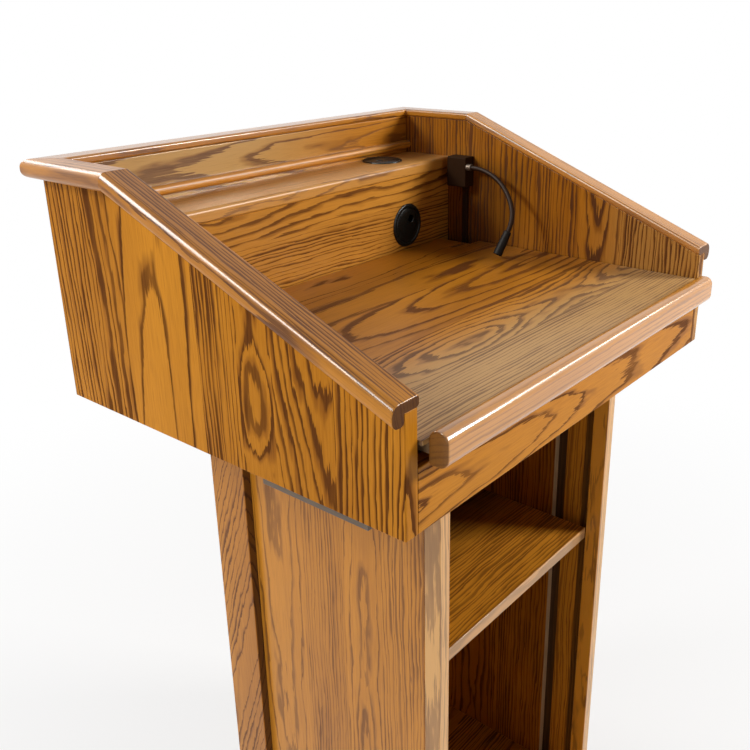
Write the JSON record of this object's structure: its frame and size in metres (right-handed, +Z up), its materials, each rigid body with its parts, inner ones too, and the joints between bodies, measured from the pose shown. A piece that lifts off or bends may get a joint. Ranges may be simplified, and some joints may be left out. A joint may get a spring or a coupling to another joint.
{
  "type": "lectern",
  "caption": "Stained oak lectern: open-backed head with tilting reading surface, book stop, equipment shelf and gooseneck lamp on a shelved pedestal.",
  "frame": {"origin": "on the floor, under the middle of the outline", "axes": "+Z up; the speaker stands at -Y and faces +Y, towards the audience; +X is to the speaker's right"},
  "size_m": [0.778, 0.648, 1.221],
  "materials": {
    "oak": "satin lacquer over a golden brown stain, dark open grain",
    "inner_oak": "stained, thinly lacquered",
    "hinge_brass": "dull plated",
    "steel": "bright zinc",
    "black_plastic": "fine matt",
    "black_metal": "satin black",
    "lamp_lens": "frosted diffuser"
  },
  "bodies": {
    "lectern": {"left_side_panel": "oak", "right_side_panel": "oak", "front_panel": "oak", "apron": "oak", "left_level_cap": "oak", "right_level_cap": "oak", "left_slope_cap": "oak", "right_slope_cap": "oak", "front_cap": "oak", "equipment_shelf": "oak", "riser_panel": "oak", "shelf_bead": "oak", "left_side_skin": "oak", "right_side_skin": "oak", "left_front_edging": "oak", "right_front_edging": "oak", "left_liner": "oak", "right_liner": "oak", "left_corner_post": "oak", "right_corner_post": "oak", "middle_shelf": "oak", "pedestal_floor": "oak", "base_board": "oak", "head_floor": "inner_oak", "shelf_cleats": "inner_oak", "left_surface_cleat": "inner_oak", "right_surface_cleat": "inner_oak", "rear_surface_cleat": "inner_oak", "back_panel": "inner_oak", "pedestal_top": "inner_oak", "hinge_lower_leaf": "hinge_brass", "hinge_pin": "steel", "left_stay_stud": "steel", "right_stay_stud": "steel", "lamp_ferrule": "steel", "left_rail": "steel", "right_rail": "steel", "rail_screws": "steel", "head_bolts": "steel", "shelf_supports": "steel", "left_stay_knob": "black_plastic", "right_stay_knob": "black_plastic", "riser_grommet_liner": "black_plastic", "shelf_grommet_liner": "black_plastic", "lamp_cable_cover": "black_plastic", "glides": "black_plastic", "lamp_base": "black_metal"},
    "reading_top": {"reading_surface": "oak", "book_stop": "oak", "hinge_upper_leaf": "hinge_brass", "left_quadrant_stay": "steel", "right_quadrant_stay": "steel"},
    "lamp_arm": {"lamp_neck": "black_metal", "lamp_hood": "black_metal", "lamp_lens": "lamp_lens"},
    "riser_cap": {"riser_grommet_cap": "black_plastic"},
    "shelf_cap": {"shelf_grommet_cap": "black_plastic"}
  },
  "joints": [
    {"name": "surface_tilt", "type": "hinge", "parent": "lectern", "child": "reading_top", "pos_m": [0, -0.271, 0.9735], "axis": [1, 0, 0], "range_deg": [0, 18]},
    {"name": "lamp_swing", "type": "hinge", "parent": "lectern", "child": "lamp_arm", "pos_m": [0.3312, 0.13, 1.131], "axis": [0, 1, 0], "range_deg": [0, 82]},
    {"name": "riser_cap_turn", "type": "hinge", "parent": "lectern", "child": "riser_cap", "pos_m": [0.229, 0.186, 1.038], "axis": [0, -1, 0], "continuous": true},
    {"name": "shelf_cap_turn", "type": "hinge", "parent": "lectern", "child": "shelf_cap", "pos_m": [0.238, 0.249, 1.1435], "axis": [0, 0, 1], "continuous": true}
  ],
  "couplings": [
    {"joint": "lamp_swing", "follows": "surface_tilt", "ratio": 4.5}
  ]
}
